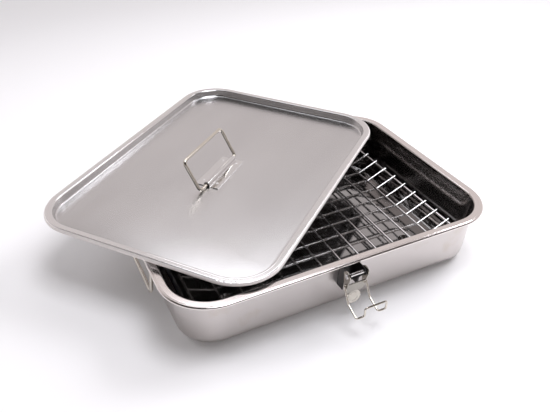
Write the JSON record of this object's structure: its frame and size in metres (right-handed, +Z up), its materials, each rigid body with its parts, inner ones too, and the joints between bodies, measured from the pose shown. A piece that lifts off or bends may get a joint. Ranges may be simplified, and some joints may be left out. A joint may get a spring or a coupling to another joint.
{
  "type": "stovetop smoker box",
  "caption": "Shallow stainless pan with a loose recessed lid, wire rack, drip tray, swinging wire handles and toggle latches, for smoking food over a hob.",
  "frame": {"origin": "centre of the pan's flat underside", "axes": "+Z up out of the pan, +X along the long side, -Y towards the open latch at the front"},
  "size_m": [0.4572, 0.4542, 0.1097],
  "materials": {
    "brushed_pan": "fine brushed stainless, softly drawn round the corners",
    "satin_lid": "satin stainless with a polished rim",
    "mirror_tray": "mirror polished stainless sheet",
    "bright_wire": "bright drawn wire",
    "latch_steel": "pressed stainless, satin, with bright edges"
  },
  "bodies": {
    "pan_body": {"pan": "brushed_pan", "left_handle_saddle": "brushed_pan", "right_handle_saddle": "brushed_pan", "front_latch_base": "latch_steel", "front_latch_axle": "latch_steel", "back_latch_base": "latch_steel", "back_latch_axle": "latch_steel"},
    "lid_body": {"lid": "satin_lid", "lid_handle_saddle": "satin_lid"},
    "lid_bail": {"lid_handle_bail": "bright_wire"},
    "left_bail": {"left_handle_bail": "bright_wire"},
    "right_bail": {"right_handle_bail": "bright_wire"},
    "tray_body": {"drip_tray": "mirror_tray"},
    "rack_body": {"rack_frame": "bright_wire", "rack_long_wires": "bright_wire", "rack_cross_wires": "bright_wire", "rack_feet": "bright_wire"},
    "front_lever": {"front_latch_lever": "latch_steel"},
    "front_loop": {"front_latch_loop": "bright_wire"},
    "back_lever": {"back_latch_lever": "latch_steel"},
    "back_loop": {"back_latch_loop": "bright_wire"}
  },
  "joints": [
    {"name": "lid_lift", "type": "slide", "parent": "pan_body", "child": "lid_body", "axis": [0, 0, 1], "range_m": [0, 0.12]},
    {"name": "lid_bail_swing", "type": "hinge", "parent": "lid_body", "child": "lid_bail", "pos_m": [-0.06511, 0.06451, 0.07227], "axis": [0.7727, 0.6346, 0.0133], "range_deg": [-59, 116]},
    {"name": "left_bail_swing", "type": "hinge", "parent": "pan_body", "child": "left_bail", "pos_m": [-0.18242, 0, 0.05731], "axis": [0, 1, 0], "range_deg": [-9, 92]},
    {"name": "right_bail_swing", "type": "hinge", "parent": "pan_body", "child": "right_bail", "pos_m": [0.18242, 0, 0.05731], "axis": [0, -1, 0], "range_deg": [-9, 92]},
    {"name": "tray_lift", "type": "slide", "parent": "pan_body", "child": "tray_body", "axis": [0, 0, 1], "range_m": [0, 0.012]},
    {"name": "rack_lift", "type": "slide", "parent": "tray_body", "child": "rack_body", "axis": [0, 0, 1], "range_m": [0, 0.014]},
    {"name": "front_lever_swing", "type": "hinge", "parent": "pan_body", "child": "front_lever", "pos_m": [-0.0055, -0.1497, 0.058], "axis": [-1, 0, 0], "range_deg": [0, 75]},
    {"name": "front_loop_swing", "type": "hinge", "parent": "front_lever", "child": "front_loop", "pos_m": [-0.0055, -0.1487, 0.046], "axis": [-1, 0, 0], "range_deg": [-8, 100]},
    {"name": "back_lever_swing", "type": "hinge", "parent": "pan_body", "child": "back_lever", "pos_m": [0.0055, 0.1497, 0.058], "axis": [1, 0, 0], "range_deg": [0, 60]},
    {"name": "back_loop_swing", "type": "hinge", "parent": "back_lever", "child": "back_loop", "pos_m": [0.0055, 0.1487, 0.046], "axis": [1, 0, 0], "range_deg": [-8, 75]}
  ]
}
